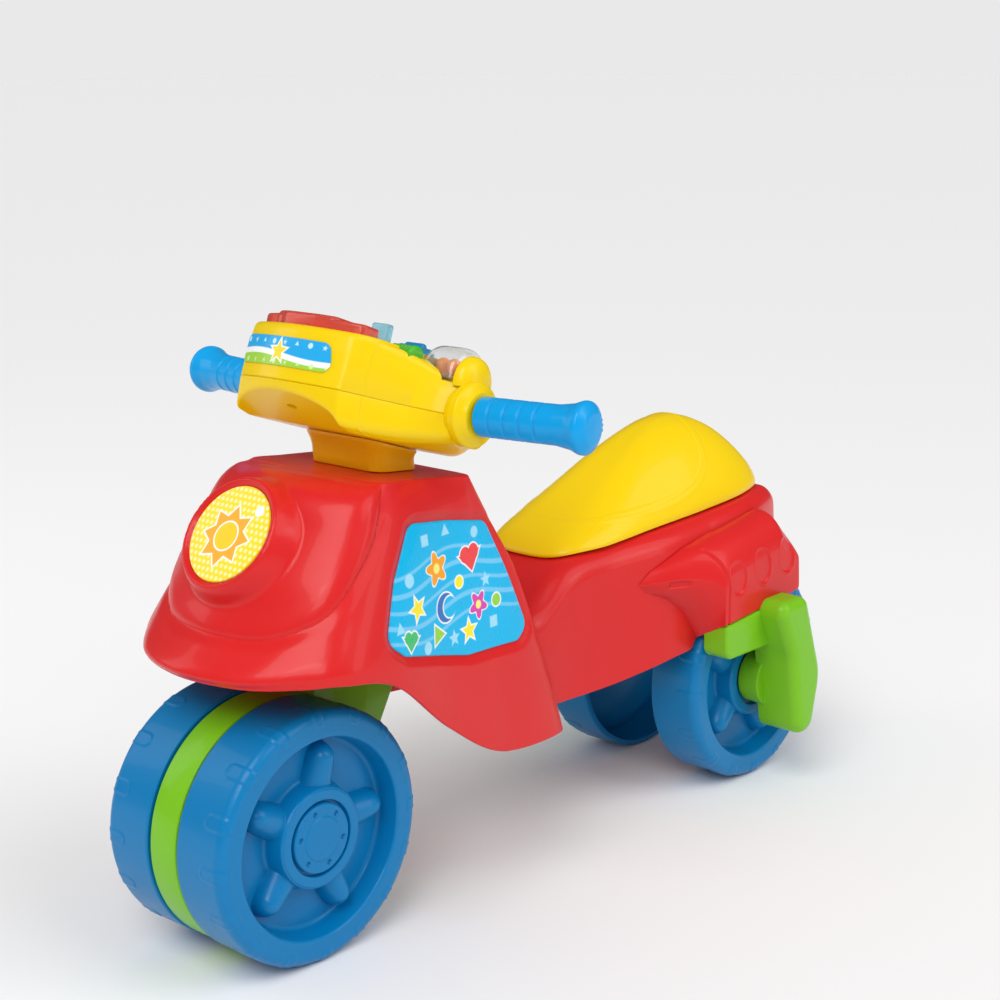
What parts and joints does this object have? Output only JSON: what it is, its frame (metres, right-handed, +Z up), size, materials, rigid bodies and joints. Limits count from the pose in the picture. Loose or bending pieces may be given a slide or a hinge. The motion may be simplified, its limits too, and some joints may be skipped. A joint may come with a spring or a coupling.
{
  "type": "toddler tricycle",
  "caption": "Chunky foot-to-floor ride-on motorbike toy in red, yellow, blue and green plastic, with a steerable split front wheel, press lamp, rollers and bead dome on the handlebar",
  "frame": {"origin": "centre of the assembly's footprint, on the floor under its wheels", "axes": "+X is the toy's left side, +Y points to its tail and +Z is up"},
  "size_m": [0.348, 0.586, 0.3866],
  "materials": {
    "red_plastic": "glossy moulded",
    "yellow_plastic": "glossy moulded",
    "orange_plastic": "glossy moulded",
    "blue_plastic": "satin moulded",
    "sky_plastic": "glossy moulded",
    "green_plastic": "glossy moulded",
    "clear_red_plastic": "clear tinted plastic",
    "pale_blue_plastic": "clear tinted plastic",
    "clear_plastic": "clear plastic",
    "yellow_label": "printed label",
    "blue_label": "printed label",
    "black_plastic": "matte moulded",
    "grey_rubber": "matte",
    "steel": "plain",
    "board": "matte",
    "battery_case": "satin"
  },
  "bodies": {
    "body": {"front_fairing": "red_plastic", "rear_body": "red_plastic", "engine_cover_left": "red_plastic", "engine_cover_right": "red_plastic", "headlight_disc": "yellow_label", "side_panel_left": "blue_label", "side_panel_right": "blue_label", "upper_steering_bush": "black_plastic", "lower_steering_bush": "black_plastic", "seat": "yellow_plastic", "wheel_bracket_left": "green_plastic", "wheel_bracket_right": "green_plastic", "rear_axle": "steel"},
    "steering": {"fork": "green_plastic", "steering_column": "steel", "neck": "orange_plastic", "lower_housing": "yellow_plastic", "upper_housing": "yellow_plastic", "handlebar": "steel", "circuit_board": "board", "speaker": "black_plastic", "battery_left": "battery_case", "battery_right": "battery_case", "battery_door": "yellow_plastic", "battery_door_screw": "steel", "bead_dome": "clear_plastic", "grip_left": "sky_plastic", "grip_right": "sky_plastic", "lamp_switch_pad": "grey_rubber", "page_switch_pad": "grey_rubber", "front_axle": "steel"},
    "front_wheel_l": {"front_wheel_left": "blue_plastic", "hub_cap_left": "blue_plastic"},
    "front_wheel_r": {"front_wheel_right": "blue_plastic", "hub_cap_right": "blue_plastic"},
    "rear_wheel_l": {"rear_wheel_left": "blue_plastic"},
    "rear_wheel_r": {"rear_wheel_right": "blue_plastic"},
    "lamp": {"lamp_lens": "clear_red_plastic"},
    "page": {"page_button": "pale_blue_plastic"},
    "roller_b": {"blue_roller": "sky_plastic"},
    "roller_g": {"green_roller": "green_plastic"},
    "beads": {"bead_spinner": "orange_plastic"}
  },
  "joints": [
    {"name": "steering_turn", "type": "hinge", "parent": "body", "child": "steering", "pos_m": [0, -0.125, 0.28643], "axis": [0, 0.0941, 0.9956], "range_deg": [-25, 25]},
    {"name": "front_left_roll", "type": "hinge", "parent": "steering", "child": "front_wheel_l", "pos_m": [0.0333, -0.213, 0.08001], "axis": [1, 0, 0], "continuous": true},
    {"name": "front_right_roll", "type": "hinge", "parent": "steering", "child": "front_wheel_r", "pos_m": [-0.0333, -0.213, 0.08001], "axis": [1, 0, 0], "continuous": true},
    {"name": "rear_left_roll", "type": "hinge", "parent": "body", "child": "rear_wheel_l", "pos_m": [0.052, 0.213, 0.08001], "axis": [1, 0, 0], "continuous": true},
    {"name": "rear_right_roll", "type": "hinge", "parent": "body", "child": "rear_wheel_r", "pos_m": [-0.052, 0.213, 0.08001], "axis": [1, 0, 0], "continuous": true},
    {"name": "lamp_press", "type": "slide", "parent": "steering", "child": "lamp", "axis": [0, -0.3173, -0.9483], "range_m": [0, 0.002], "stiffness_N_per_m": 400, "springref_m": -0.0015, "deforming": ["lamp_switch_pad"]},
    {"name": "page_press", "type": "slide", "parent": "steering", "child": "page", "axis": [0, -0.3173, -0.9483], "range_m": [0, 0.002], "stiffness_N_per_m": 200, "springref_m": -0.0015, "deforming": ["page_switch_pad"]},
    {"name": "blue_roller_spin", "type": "hinge", "parent": "steering", "child": "roller_b", "pos_m": [0.033, -0.11034, 0.35247], "axis": [1, 0, 0], "continuous": true},
    {"name": "green_roller_spin", "type": "hinge", "parent": "steering", "child": "roller_g", "pos_m": [0.048, -0.13199, 0.36024], "axis": [1, 0, 0], "continuous": true},
    {"name": "bead_spin", "type": "hinge", "parent": "steering", "child": "beads", "pos_m": [0.0655, -0.10718, 0.35247], "axis": [1, 0, 0], "continuous": true}
  ]
}
